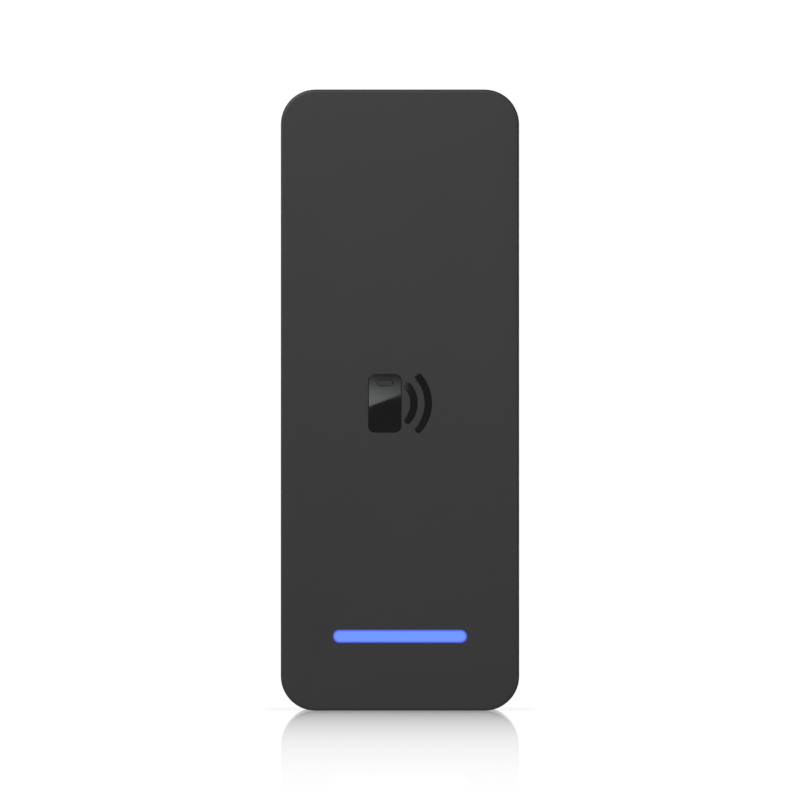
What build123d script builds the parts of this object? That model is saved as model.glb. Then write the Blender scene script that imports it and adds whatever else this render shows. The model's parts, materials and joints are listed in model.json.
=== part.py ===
"""Slim card reader for a door frame, hung on a folded steel wall plate.

The origin lies on the wall at the centre of the plate. +Z is up, -Y faces the person who
presents a card, and +X is to that person's right. Every size is in millimetres.
"""

from build123d import *
import os

# ---------------------------------------------------------------- driving dimensions
WIDTH = 50.5
HEIGHT = 131.5
DEPTH = 20.1
CORNER_R = 7.35
EDGE_R = 0.6
FACE_T = 1.8
WALL_T = 2.0
GAP = 0.1  # clearance between parts that slide together by hand

# ---------------------------------------------------------------- depths, from the wall
FRONT_Y = -DEPTH
COVER_IN_Y = FRONT_Y + FACE_T
SEAM_Y = -9.6
SEAM_GROOVE = 0.3
REAR_START_Y = SEAM_Y + SEAM_GROOVE
TONGUE_Y = REAR_START_Y - 2.5
TONGUE_T = 1.6
SEAL_INSET = WALL_T + GAP
PANEL_T = 1.6
PANEL_OUT_Y = -2.6
PANEL_IN_Y = PANEL_OUT_Y - PANEL_T
RIM_T = 2.2
RIM_Y = -0.6
BOARD_T = 1.2
BOARD_FRONT_Y = -16.6
BOARD_REAR_Y = BOARD_FRONT_Y + BOARD_T

# ---------------------------------------------------------------- front face
BAR_W, BAR_H, BAR_R = 28.45, 2.85, 1.3
BAR_Z = -50.0
BADGE_Z = -0.7
BADGE_DEPTH = 0.5
CARD_X, CARD_W, CARD_H, CARD_R = -3.2, 7.0, 12.4, 1.4
CARD_SLOT_Z, CARD_SLOT_W, CARD_SLOT_H = 4.3, 3.2, 1.1
WAVE_X, WAVE_RADII, WAVE_HALF_T = -2.6, (5.6, 8.6), 0.75

# ---------------------------------------------------------------- wall plate
PLATE_T = 1.5
PLATE_CLEARANCE = 0.6
PLATE_INSET = RIM_T + PLATE_CLEARANCE
GANG_SPACING = 83.3
SLOT_R, SLOT_LENGTH = 2.1, 8.0
FRAME_HOLE_SPACING, FRAME_HOLE_Z, FRAME_HOLE_R = 30.0, 22.0, 2.1
HEAD_ROOM_R, HEAD_ROOM_LENGTH, HEAD_ROOM_D, FRAME_HEAD_ROOM_R = 5.4, 15.0, 3.0, 4.5
WINDOW_W, WINDOW_LOW, WINDOW_HIGH, WINDOW_R = 19.0, -34.0, -7.0, 3.0
PIN_HOLE_R = 2.4
HOOK_XS = (-9.5, 9.5)
HOOK_W, HOOK_T, HOOK_LOW, HOOK_TOP, HOOK_REACH = 7.0, 1.2, 60.2, 63.2, -6.6
HOOK_ROOM, HOOK_POCKET_Y, HOOK_POCKET_TOP = 0.7, -8.2, 63.8
LIP_Z = HOOK_LOW + HOOK_T + 0.2  # the panel's round edge that hangs and turns on the hooks
FOOT_W, FOOT_LOW, FOOT_REACH = 14.0, -63.85, -7.8
FOOT_TOP = FOOT_LOW + PLATE_T

# ---------------------------------------------------------------- connector pocket and jack
POCKET_W, POCKET_LOW, POCKET_HIGH = 19.0, -36.5, -6.0
POCKET_FLOOR_Y, POCKET_FLOOR_T, POCKET_WALL = -14.2, 0.8, 1.2
JACK_W, JACK_LENGTH, JACK_BACK_Y = 16.0, 17.0, -4.6
JACK_SHEET = 0.3

# ---------------------------------------------------------------- fasteners
CORNER_SCREWS = [(sx * 19.4, sz * 59.9) for sx in (-1, 1) for sz in (-1, 1)]
BOSS_R = 3.0
BOSS_MEET_Y = TONGUE_Y
INSERT_R, INSERT_BORE_R, INSERT_LENGTH = 1.75, 1.25, 4.5
SCREW_R, SCREW_HEAD_R, SCREW_HEAD_Y = 1.2, 2.2, -4.3
BOARD_SCREWS = [(sx * 19.8, z) for sx in (-1, 1) for z in (50.5, -46.0)]
BOARD_SCREW_R, BOARD_SCREW_TIP_Y, BOARD_POST_R = 0.9, -18.9, 2.2
SCREW_TIP_Y = -15.6
LOCK_Y = -5.6
LOCK_ROOF = -62.2
LOCK_SHANK_R, LOCK_HEAD_R, LOCK_HEAD_TOP, LOCK_HEAD_LOW = 1.5, 2.75, -64.25, -65.65
LOCK_INSERT_R, LOCK_INSERT_TOP = 2.1, -57.2
LOCK_TIP = -57.4

# ---------------------------------------------------------------- controls behind the panel
TAMPER_X, RESET_X, CONTROL_Z = 15.5, -15.5, -22.0
TAMPER_R, TAMPER_TIP_Y, TAMPER_COLLAR_R, TAMPER_COLLAR_T = 1.5, -11.3, 2.4, 0.6
TAMPER_COLLAR_Y, TAMPER_RING_T = -5.6, 1.1
CUP_R, CUP_BORE_R, CUP_FRONT_Y, CUP_FLOOR_T = 3.4, 2.5, -9.0, 0.6
SPRING_R, SPRING_WIRE, SPRING_TURNS = 2.0, 0.3, 4
SWITCH_Y, SWITCH_HALF = -12.4, 1.7
LEVER_PIVOT_Y, LEVER_PIVOT_Z, LEVER_T, LEVER_HALF, LEVER_LENGTH = -11.75, -28.3, 0.3, 1.0, 7.8
LEVER_PIN_R, LEVER_BARREL_R = 0.3, 0.55
RESET_CAP_R = 1.8

# ---------------------------------------------------------------- antenna and speaker
ANTENNA_W, ANTENNA_LOW, ANTENNA_HIGH = 38.0, -30.0, 46.0
ANTENNA_FRONT_Y, ANTENNA_T, COIL_T, FERRITE_T = -18.1, 0.7, 0.1, 0.25
SPEAKER_X, SPEAKER_Y, SPEAKER_W, SPEAKER_D, SPEAKER_H = -8.7, -14.9, 15.0, 6.0, 4.0
FLOOR_IN_Z = -HEIGHT / 2 + WALL_T
MESH_T, PAD_T = 0.15, 0.5
SOUND_SLOTS, SOUND_PITCH, SOUND_SLOT_W, SOUND_SLOT_D = 6, 1.7, 0.9, 4.0


# ================================================================ building blocks
def slab(outline, y_front, y_back):
    """An outline drawn in X and Z, made solid between two depths."""
    return extrude(Plane.XZ.offset(-y_back) * outline, y_back - y_front)


def block(x, y, z):
    """A box given by its lowest and highest place along each axis."""
    size = [high - low for low, high in (x, y, z)]
    middle = [(high + low) / 2 for low, high in (x, y, z)]
    return Pos(*middle) * Box(*size)


def peg(x, z, radius, y_front, y_back):
    """A round pin along Y."""
    return slab(Pos(x, z) * Circle(radius), y_front, y_back)


def upright(x, y, radius, z_low, z_high):
    """A round pin along Z."""
    return Pos(x, y, z_low) * extrude(Circle(radius), z_high - z_low)


def panel_outline(inset):
    """The reader's rounded outline, taken in by the same distance all round."""
    return RectangleRounded(WIDTH - 2 * inset, HEIGHT - 2 * inset, CORNER_R - inset)


def frame_between(outer_inset, inner_inset, y_front, y_back):
    """A closed frame that follows the reader's outline between two insets."""
    return slab(panel_outline(outer_inset) - panel_outline(inner_inset), y_front, y_back)


def tall_slot(radius, length):
    """A slot with round ends that stands upright."""
    return SlotOverall(length, 2 * radius, rotation=90)


def chip(x, z, width, height, thickness, corner=0.15):
    """A flat component soldered to the rear of the main board."""
    body = block(
        (x - width / 2, x + width / 2),
        (BOARD_REAR_Y, BOARD_REAR_Y + thickness),
        (z - height / 2, z + height / 2),
    )
    return chamfer(body.faces().sort_by(Axis.Y)[-1].edges(), corner)


def one_part(pieces):
    """Several pieces as one part, whose separate solids stay separate."""
    whole = pieces[0]
    for piece in pieces[1:]:
        whole += piece
    return whole


# ================================================================ wall plate
def wall_plate():
    """Folded steel plate: screw slots, cable window, two hooks and the locking foot."""
    sheet = RectangleRounded(WIDTH - 2 * PLATE_INSET, HEIGHT - 2 * PLATE_INSET, CORNER_R - PLATE_INSET)
    for z in (-GANG_SPACING / 2, GANG_SPACING / 2):
        sheet -= Pos(0, z) * tall_slot(SLOT_R, SLOT_LENGTH)
    for x in (-FRAME_HOLE_SPACING / 2, FRAME_HOLE_SPACING / 2):
        sheet -= Pos(x, FRAME_HOLE_Z) * Circle(FRAME_HOLE_R)
    window_height = WINDOW_HIGH - WINDOW_LOW
    sheet -= Pos(0, WINDOW_LOW + window_height / 2) * RectangleRounded(WINDOW_W, window_height, WINDOW_R)
    sheet -= Pos(TAMPER_X, CONTROL_Z) * Circle(PIN_HOLE_R)
    for x in HOOK_XS:
        sheet -= Pos(x, HOOK_LOW - 4) * RectangleRounded(HOOK_W + 1, 8, 0.8)
    plate = slab(sheet, -PLATE_T, 0)

    for x in HOOK_XS:
        across = (x - HOOK_W / 2, x + HOOK_W / 2)
        arm = block(across, (HOOK_REACH, -PLATE_T / 2), (HOOK_LOW, HOOK_LOW + HOOK_T))
        tip = block(across, (HOOK_REACH, HOOK_REACH + HOOK_T), (HOOK_LOW, HOOK_TOP))
        hook = arm + tip
        outer_bend = hook.edges().filter_by(Axis.X).sort_by(lambda e: e.center().Y + e.center().Z)[0]
        plate += fillet(outer_bend, 1.0)

    across = (-FOOT_W / 2, FOOT_W / 2)
    foot = block(across, (-PLATE_T, 0), (FOOT_LOW, FOOT_LOW + 4))
    foot += block(across, (FOOT_REACH, 0), (FOOT_LOW, FOOT_TOP))
    outer_bend = foot.edges().filter_by(Axis.X).sort_by(lambda e: e.center().Z - e.center().Y)[0]
    foot = fillet(outer_bend, PLATE_T)
    toes = foot.edges().filter_by(Axis.Z).group_by(Axis.Y)[0]
    foot = fillet(toes, 1.2)
    notch_r = LOCK_SHANK_R + 0.3
    foot -= upright(0, LOCK_Y, notch_r, FOOT_LOW, FOOT_TOP)
    foot -= block((-notch_r, notch_r), (FOOT_REACH, LOCK_Y), (FOOT_LOW, FOOT_TOP))
    return plate + foot


# ================================================================ front cover
def badge_outline(grow=0.0):
    """An identity card with a lanyard slot, and two waves leaving it. grow widens it all round."""
    badge = Pos(CARD_X, 0) * RectangleRounded(CARD_W + 2 * grow, CARD_H + 2 * grow, CARD_R + grow)
    badge -= Pos(CARD_X, CARD_SLOT_Z) * SlotOverall(CARD_SLOT_W - 2 * grow, CARD_SLOT_H - 2 * grow)
    for radius in WAVE_RADII:
        arc = CenterArc((WAVE_X, 0), radius, -40, 80)
        badge += SlotArc(arc, 2 * (WAVE_HALF_T + grow))
    return badge


def front_cover():
    """Moulded front shell with the light slot, the badge recess, bosses and board posts."""
    cover = slab(panel_outline(0), FRONT_Y, SEAM_Y)
    cover = fillet(cover.faces().sort_by(Axis.Y)[0].outer_wire().edges(), EDGE_R)
    cover -= slab(panel_outline(WALL_T), COVER_IN_Y, SEAM_Y)
    for x, z in CORNER_SCREWS:
        cover += peg(x, z, BOSS_R, COVER_IN_Y, BOSS_MEET_Y - GAP)
        cover -= peg(x, z, INSERT_R, BOSS_MEET_Y - GAP - INSERT_LENGTH, BOSS_MEET_Y - GAP)
    for x, z in BOARD_SCREWS:
        cover += peg(x, z, BOARD_POST_R, COVER_IN_Y, BOARD_FRONT_Y)
        cover -= peg(x, z, BOARD_SCREW_R, BOARD_SCREW_TIP_Y - GAP, BOARD_FRONT_Y)
    cover -= slab(Pos(0, BAR_Z) * RectangleRounded(BAR_W, BAR_H, BAR_R), FRONT_Y, COVER_IN_Y)
    cover -= slab(Pos(0, BADGE_Z) * badge_outline(), FRONT_Y, FRONT_Y + BADGE_DEPTH)
    for side in (-1, 1):
        rib = SPEAKER_X + side * (SPEAKER_W / 2 + GAP + 0.4)
        cover += block((rib - 0.4, rib + 0.4), (COVER_IN_Y, TONGUE_Y - GAP), (FLOOR_IN_Z, FLOOR_IN_Z + 3))
    for step in range(SOUND_SLOTS):
        x = SPEAKER_X + (step - (SOUND_SLOTS - 1) / 2) * SOUND_PITCH
        across = (x - SOUND_SLOT_W / 2, x + SOUND_SLOT_W / 2)
        through = (SPEAKER_Y - SOUND_SLOT_D / 2, SPEAKER_Y + SOUND_SLOT_D / 2)
        cover -= block(across, through, (-HEIGHT / 2, FLOOR_IN_Z))
    return cover


def emblem_inlay():
    """Gloss inlay pressed into the badge recess, flush with the face."""
    return slab(Pos(0, BADGE_Z) * badge_outline(-0.04), FRONT_Y, FRONT_Y + BADGE_DEPTH)


def light_bar():
    """Milky diffuser: a nose that fills the light slot and a flange behind the wall."""
    nose = RectangleRounded(BAR_W - GAP, BAR_H - GAP, BAR_R - GAP / 2)
    bar = slab(Pos(0, BAR_Z) * nose, FRONT_Y + 0.05, COVER_IN_Y)
    return bar + slab(Pos(0, BAR_Z) * RectangleRounded(BAR_W + 3, BAR_H + 3, 1.5), COVER_IN_Y, COVER_IN_Y + 0.5)


def light_frame():
    """White frame that keeps the light of the row of diodes inside the bar."""
    outline = RectangleRounded(BAR_W + 5.5, BAR_H + 5.2, 1) - RectangleRounded(BAR_W + 1, BAR_H + 0.8, 0.6)
    return slab(Pos(0, BAR_Z) * outline, COVER_IN_Y + 0.5, BOARD_FRONT_Y)


def leds():
    """Six diodes on the front of the main board, behind the bar."""
    pieces = []
    for step in range(6):
        x = (step - 2.5) * 4.8
        body = block((x - 1, x + 1), (BOARD_FRONT_Y - 0.7, BOARD_FRONT_Y), (BAR_Z - 1, BAR_Z + 1))
        pieces.append(body - peg(x, BAR_Z, 0.75, BOARD_FRONT_Y - 0.7, BOARD_FRONT_Y - 0.5))
    return one_part(pieces)


# ================================================================ antenna
def antenna_board():
    """Thin circuit board bonded behind the face, which carries the antenna's track."""
    outline = RectangleRounded(ANTENNA_W, ANTENNA_HIGH - ANTENNA_LOW, 3)
    return slab(
        Pos(0, (ANTENNA_HIGH + ANTENNA_LOW) / 2) * outline,
        ANTENNA_FRONT_Y,
        ANTENNA_FRONT_Y + ANTENNA_T,
    )


def antenna_coil():
    """Flat rectangular spiral of copper track, four turns."""
    pitch, track = 1.5, 0.8
    half_w = ANTENNA_W / 2 - 1.5
    low, high = ANTENNA_LOW + 1.5, ANTENNA_HIGH - 1.5
    points = [(1.5, low)]
    for turn in range(4):
        shift = turn * pitch
        points += [
            (half_w - shift, low + shift),
            (half_w - shift, high - shift),
            (-half_w + shift, high - shift),
            (-half_w + shift, low + shift + pitch),
        ]
    points.append((-1.5, low + 4 * pitch))
    return slab(trace(Polyline(*points), track), ANTENNA_FRONT_Y - COIL_T, ANTENNA_FRONT_Y)


def ferrite_sheet():
    """Grey sheet that shields the antenna from the metal behind it."""
    y = ANTENNA_FRONT_Y + ANTENNA_T
    return slab(Pos(0, 11) * RectangleRounded(34, 66, 1.5), y, y + FERRITE_T)


def antenna_pins():
    """Two sprung pins that join the antenna's board to the main board."""
    y = ANTENNA_FRONT_Y + ANTENNA_T
    return one_part([peg(x, -26, 0.5, y, BOARD_FRONT_Y) for x in (-1.5, 1.5)])


# ================================================================ main board
def main_board():
    """Circuit board screwed to the front cover's posts."""
    outline = RectangleRounded(44.8, 110, 2)
    for x, z in BOARD_SCREWS:
        outline -= Pos(x, z) * Circle(1.1)
    return slab(outline, BOARD_FRONT_Y, BOARD_REAR_Y)


def board_screws():
    """Four small screws that hold the main board."""
    pieces = []
    for x, z in BOARD_SCREWS:
        head = peg(x, z, 1.9, BOARD_REAR_Y, BOARD_REAR_Y + 1.2)
        head = fillet(head.faces().sort_by(Axis.Y)[-1].edges(), 0.4)
        cross = Rectangle(1.9, 0.45) + Rectangle(0.45, 1.9)
        head -= slab(Pos(x, z) * cross, BOARD_REAR_Y + 0.5, BOARD_REAR_Y + 1.2)
        pieces.append(head + peg(x, z, BOARD_SCREW_R, BOARD_SCREW_TIP_Y, BOARD_REAR_Y))
    return one_part(pieces)


def processor():
    return chip(0, 22, 10, 10, 1.1)


def radio_shield():
    """Folded tin can over the radio, open towards the board."""
    can = chip(0, 38.5, 20, 15, 2.2, corner=0.4)
    return can - block((-9.7, 9.7), (BOARD_REAR_Y, BOARD_REAR_Y + 1.9), (31.3, 45.7))


def card_chip():
    return chip(13, 33.5, 6, 6, 0.9)


def memory_chip():
    return chip(-13.2, 34, 6, 8, 1.0)


def network_chip():
    return chip(-12.5, 23.5, 7, 7, 0.9)


def crystal():
    return chip(8, 14.2, 3.2, 2.5, 0.7)


def bluetooth_antenna():
    return chip(15.6, 43.6, 8, 2.4, 1.2)


def small_components():
    """Resistors and capacitors, laid in short rows beside the chips."""
    rows = [(-20.5, 28, 6), (20.5, 24, 8), (-20.5, 15.6, 5), (20.5, -38, 5), (-8, -47, 4), (8, -47, 4)]
    pieces = []
    for x, z, count in rows:
        pieces += [chip(x, z + 2.2 * step, 1.6, 0.8, 0.55, corner=0.08) for step in range(count)]
    return one_part(pieces)


def poe_transformer():
    """Transformer of the network power supply: a core with a wound bobbin."""
    core = chip(-15.2, 8, 12, 12, 7.4, corner=0.6)
    waist = block((-22, -20.2), (BOARD_REAR_Y + 1.2, BOARD_REAR_Y + 6), (4, 12))
    waist += block((-10.2, -8), (BOARD_REAR_Y + 1.2, BOARD_REAR_Y + 6), (4, 12))
    return core - waist


def filter_capacitors():
    """Two round capacitors, each with a rolled edge round its top."""
    pieces = []
    for z in (-1.5, 6.0):
        can = peg(14.4, z, 3.15, BOARD_REAR_Y, BOARD_REAR_Y + 7.7)
        can = fillet(can.faces().sort_by(Axis.Y)[-1].edges(), 0.5)
        base = block((11.1, 17.7), (BOARD_REAR_Y, BOARD_REAR_Y + 0.8), (z - 3.3, z + 3.3))
        pieces.append(can + base)
    return one_part(pieces)


def power_inductor():
    return chip(13.6, 14.2, 7, 7, 4, corner=0.5)


# ================================================================ network jack
def jack_shell():
    """Tin shield of the network jack, open below where the plug goes in."""
    side = JACK_W / 2
    high = POCKET_HIGH + JACK_LENGTH
    shell = block((-side, side), (BOARD_REAR_Y, JACK_BACK_Y), (POCKET_HIGH, high))
    inner = side - JACK_SHEET
    return shell - block(
        (-inner, inner),
        (BOARD_REAR_Y, JACK_BACK_Y - JACK_SHEET),
        (POCKET_HIGH, high - JACK_SHEET),
    )


def jack_body():
    """Plastic core of the jack, with the plug's cavity and the slot for its latch."""
    side = JACK_W / 2 - JACK_SHEET
    high = POCKET_HIGH + JACK_LENGTH - JACK_SHEET
    core = block((-side, side), (BOARD_REAR_Y, JACK_BACK_Y - JACK_SHEET), (POCKET_HIGH, high))
    core -= block((-5.95, 5.95), (-13.9, -7.0), (POCKET_HIGH, POCKET_HIGH + 13.5))
    return core - block((-3.1, 3.1), (-7.0, -5.6), (POCKET_HIGH, POCKET_HIGH + 11))


def jack_contacts():
    """Eight sprung contacts that lean across the plug's cavity."""
    pieces = []
    for step in range(8):
        x = (step - 3.5) * 1.02
        wire = trace(Polyline((-13.7, 5.2), (-13.7, -3.6)), 0.3)
        wire += trace(Polyline((-13.7, -3.6), (-11.4, 1.6)), 0.3)
        pieces.append(extrude(Plane.YZ.offset(x - 0.175) * wire, 0.35))
    return one_part(pieces)


def jack_gasket():
    """Rubber collar round the jack, pressed against the wall of the connector pocket."""
    low = POCKET_HIGH + POCKET_WALL
    collar = block((-9.4, 9.4), (BOARD_REAR_Y + 0.05, PANEL_IN_Y), (low, low + 1.4))
    side = JACK_W / 2
    return collar - block((-side, side), (BOARD_REAR_Y, JACK_BACK_Y), (low, low + 1.4))


# ================================================================ speaker
def speaker_block(low, high, width, depth):
    """A block centred on the speaker, between two heights above the cover's floor."""
    return block(
        (SPEAKER_X - width / 2, SPEAKER_X + width / 2),
        (SPEAKER_Y - depth / 2, SPEAKER_Y + depth / 2),
        (FLOOR_IN_Z + low, FLOOR_IN_Z + high),
    )


def sound_mesh():
    """Woven screen glued over the sound slots."""
    return speaker_block(0, MESH_T, 13.4, 5.2)


def speaker_gasket():
    """Foam frame between the screen and the speaker."""
    top = MESH_T + PAD_T
    return speaker_block(MESH_T, top, SPEAKER_W, SPEAKER_D) - speaker_block(MESH_T, top, 12, 4)


def speaker():
    """Speaker's steel can, open downwards over its diaphragm."""
    low = MESH_T + PAD_T
    can = speaker_block(low, low + SPEAKER_H, SPEAKER_W, SPEAKER_D)
    can = fillet(can.edges().filter_by(Axis.Z), 1.2)
    return can - speaker_block(low, low + 1.5, 12, 4)


def speaker_diaphragm():
    """Thin dome that makes the sound."""
    low = MESH_T + PAD_T
    dome = speaker_block(low + 0.6, low + 1.1, 11.6, 3.6)
    return fillet(dome.edges().filter_by(Axis.Z), 1.0)


# ================================================================ rear housing
def housing_shell():
    """Side walls, the back panel set in from the wall, and the tongue that enters the cover."""
    tongue_in = WALL_T + GAP
    shell = frame_between(0, tongue_in + TONGUE_T, REAR_START_Y, PANEL_IN_Y)
    shell += slab(panel_outline(0), PANEL_IN_Y, PANEL_OUT_Y)
    shell += frame_between(0, RIM_T, PANEL_OUT_Y, RIM_Y)
    rear_edge = shell.faces().sort_by(Axis.Y)[-1].outer_wire().edges()
    shell = fillet(rear_edge, 0.5)
    return shell + frame_between(tongue_in, tongue_in + TONGUE_T, TONGUE_Y, REAR_START_Y)


def pocket_bridge():
    """Room that joins the lower screw head's pocket to the connector pocket."""
    low = -GANG_SPACING / 2 + HEAD_ROOM_LENGTH / 2 - HEAD_ROOM_R
    return block((-HEAD_ROOM_R, HEAD_ROOM_R), (PANEL_OUT_Y - HEAD_ROOM_D, PANEL_OUT_Y), (low, POCKET_LOW))


def screw_head_pockets(grow, y_front):
    """Room in the back panel for the heads of the screws that hold the plate to the wall."""
    pieces = [
        slab(Pos(0, z) * tall_slot(HEAD_ROOM_R + grow, HEAD_ROOM_LENGTH + 2 * grow), y_front, PANEL_OUT_Y)
        for z in (-GANG_SPACING / 2, GANG_SPACING / 2)
    ]
    half = FRAME_HOLE_SPACING / 2
    pieces += [peg(x, FRAME_HOLE_Z, FRAME_HEAD_ROOM_R + grow, y_front, PANEL_OUT_Y) for x in (-half, half)]
    return one_part(pieces)


def lip_roll(across):
    """Round bar that shapes the lower edge of the lip over a hook."""
    middle = Plane.YZ.offset(across[0]) * Pos((PANEL_IN_Y + PANEL_OUT_Y) / 2, LIP_Z + PANEL_T / 2)
    return extrude(middle * Circle(PANEL_T / 2), across[1] - across[0])


def rear_housing():
    """Moulded rear shell with the connector pocket, hook pockets and screw columns."""
    body = housing_shell()
    side = POCKET_W / 2
    wall = POCKET_WALL
    body += block(
        (-side - wall, side + wall),
        (POCKET_FLOOR_Y - POCKET_FLOOR_T, PANEL_IN_Y),
        (POCKET_LOW - wall, POCKET_HIGH + wall),
    )
    body += screw_head_pockets(wall, PANEL_OUT_Y - HEAD_ROOM_D - wall)
    hook_side = HOOK_W / 2 + HOOK_ROOM
    for x in HOOK_XS:
        across = (x - hook_side - 1, x + hook_side + 1)
        body += block(across, (HOOK_POCKET_Y - 1, PANEL_IN_Y), (HOOK_LOW - 3.6, HOOK_POCKET_TOP))
    for x, z in CORNER_SCREWS:
        body += peg(x, z, BOSS_R, BOSS_MEET_Y, PANEL_IN_Y)
    body += peg(TAMPER_X, CONTROL_Z, CUP_R + TAMPER_RING_T, PANEL_IN_Y - 2, PANEL_IN_Y)
    body += block((-9.2, 9.2), (REAR_START_Y, PANEL_OUT_Y), (LOCK_ROOF, LOCK_ROOF + 1.4))
    body += upright(0, LOCK_Y, 3.0, LOCK_ROOF, LOCK_INSERT_TOP + 0.8)

    body -= block((-side, side), (POCKET_FLOOR_Y, PANEL_OUT_Y), (POCKET_LOW, POCKET_HIGH))
    jack_side = JACK_W / 2 + GAP
    body -= block(
        (-jack_side, jack_side),
        (POCKET_FLOOR_Y - POCKET_FLOOR_T, JACK_BACK_Y + GAP),
        (POCKET_HIGH, POCKET_HIGH + wall),
    )
    body -= screw_head_pockets(0, PANEL_OUT_Y - HEAD_ROOM_D)
    body -= pocket_bridge()
    for x in HOOK_XS:
        across = (x - hook_side, x + hook_side)
        body -= block(across, (HOOK_POCKET_Y, PANEL_OUT_Y), (HOOK_LOW - 2.6, LIP_Z))
        body -= block(across, (HOOK_POCKET_Y, PANEL_IN_Y), (LIP_Z, HOOK_POCKET_TOP))
        lip = block(across, (PANEL_IN_Y, PANEL_OUT_Y), (LIP_Z, LIP_Z + PANEL_T / 2))
        body -= lip - lip_roll(across)
    for x, z in CORNER_SCREWS:
        body -= peg(x, z, SCREW_HEAD_R + 0.3, SCREW_HEAD_Y, PANEL_OUT_Y)
        body -= peg(x, z, SCREW_R + 0.2, BOSS_MEET_Y, SCREW_HEAD_Y)
    body -= peg(TAMPER_X, CONTROL_Z, CUP_R, PANEL_IN_Y - 2, PANEL_IN_Y)
    body -= peg(TAMPER_X, CONTROL_Z, TAMPER_R + GAP, PANEL_IN_Y, PANEL_OUT_Y)
    body -= peg(RESET_X, CONTROL_Z, RESET_CAP_R + 0.2, PANEL_IN_Y, PANEL_OUT_Y)
    for x, z in ((14.3, 41.3), (16.7, 41.3), (15.5, 43.4)):
        body -= peg(x, z, 0.45, PANEL_IN_Y, PANEL_OUT_Y)
    body -= block((-8, 8), (-8.6, RIM_Y), (-HEIGHT / 2, LOCK_ROOF))
    body -= upright(0, LOCK_Y, LOCK_INSERT_R, LOCK_ROOF, LOCK_INSERT_TOP)
    body -= frame_between(SEAL_INSET, SEAL_INSET + 0.8, TONGUE_Y + 0.9, TONGUE_Y + 1.9)
    return body - frame_between(0.7, 1.7, RIM_Y - 0.8, RIM_Y)


def housing_seal():
    """Silicone ring in the tongue's groove."""
    return frame_between(WALL_T + 0.03, SEAL_INSET + 0.77, TONGUE_Y + 0.93, TONGUE_Y + 1.87)


def wall_seal():
    """Rubber strip along the rear rim, left open below so that water can drain."""
    strip = frame_between(0.7, 1.7, RIM_Y - 0.8, 0)
    return strip - block((-8.6, 8.6), (RIM_Y - 0.8, 0), (-HEIGHT / 2, LOCK_ROOF))


def vent_membrane():
    """Breathing disc behind the three vent holes of the back panel."""
    return peg(15.5, 42.0, 3.5, PANEL_IN_Y - 0.3, PANEL_IN_Y)


def housing_screws():
    """Four long screws that close the case, from the back."""
    pieces = []
    for x, z in CORNER_SCREWS:
        head = peg(x, z, SCREW_HEAD_R, SCREW_HEAD_Y, PANEL_OUT_Y - 0.2)
        head = fillet(head.faces().sort_by(Axis.Y)[-1].edges(), 0.5)
        cross = Rectangle(2.4, 0.55) + Rectangle(0.55, 2.4)
        head -= slab(Pos(x, z) * cross, SCREW_HEAD_Y + 0.6, PANEL_OUT_Y - 0.2)
        pieces.append(head + peg(x, z, SCREW_R, SCREW_TIP_Y, SCREW_HEAD_Y))
    return one_part(pieces)


def threaded_inserts():
    """Brass inserts melted into the cover's four corner bosses."""
    front, back = BOSS_MEET_Y - GAP - INSERT_LENGTH, BOSS_MEET_Y - GAP
    pieces = [
        peg(x, z, INSERT_R, front, back) - peg(x, z, INSERT_BORE_R, front, back)
        for x, z in CORNER_SCREWS
    ]
    return one_part(pieces)


# ================================================================ locking screw
def security_insert():
    """Brass insert in the boss over the foot of the wall plate."""
    tube = upright(0, LOCK_Y, LOCK_INSERT_R, LOCK_ROOF, LOCK_INSERT_TOP)
    return tube - upright(0, LOCK_Y, LOCK_SHANK_R + 0.05, LOCK_ROOF, LOCK_INSERT_TOP)


def security_screw():
    """Low-headed screw with a six-lobed recess and a centre pin."""
    head = upright(0, LOCK_Y, LOCK_HEAD_R, LOCK_HEAD_LOW, LOCK_HEAD_TOP)
    head = fillet(head.faces().sort_by(Axis.Z)[0].edges(), 0.5)
    lobes = Circle(1.05)
    for lobe in PolarLocations(1.0, 6):
        lobes += lobe * Circle(0.32)
    lobes -= Circle(0.42)
    head -= Pos(0, LOCK_Y, LOCK_HEAD_LOW) * extrude(lobes, 0.9)
    shank = upright(0, LOCK_Y, LOCK_SHANK_R, LOCK_HEAD_TOP, LOCK_TIP)
    return head + chamfer(shank.faces().sort_by(Axis.Z)[-1].edges(), 0.4)


# ================================================================ reset button
def reset_button():
    """Push pin behind the back panel, with a collar that keeps it in."""
    cap = peg(RESET_X, CONTROL_Z, RESET_CAP_R, PANEL_IN_Y - 0.2, PANEL_OUT_Y - 0.2)
    cap = fillet(cap.faces().sort_by(Axis.Y)[-1].edges(), 0.3)
    collar = peg(RESET_X, CONTROL_Z, 2.6, PANEL_IN_Y - 1.0, PANEL_IN_Y - 0.2)
    return cap + collar + peg(RESET_X, CONTROL_Z, 1.0, SWITCH_Y + 0.8, PANEL_IN_Y - 1.0)


def reset_switch():
    """Square tactile switch with a round well for its plunger."""
    side = 2.25
    body = block(
        (RESET_X - side, RESET_X + side),
        (BOARD_REAR_Y, SWITCH_Y),
        (CONTROL_Z - side, CONTROL_Z + side),
    )
    return body - peg(RESET_X, CONTROL_Z, 1.3, SWITCH_Y - 1.0, SWITCH_Y)


def reset_switch_plunger():
    return peg(RESET_X, CONTROL_Z, 1.2, SWITCH_Y - 0.6, SWITCH_Y + 0.8)


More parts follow.
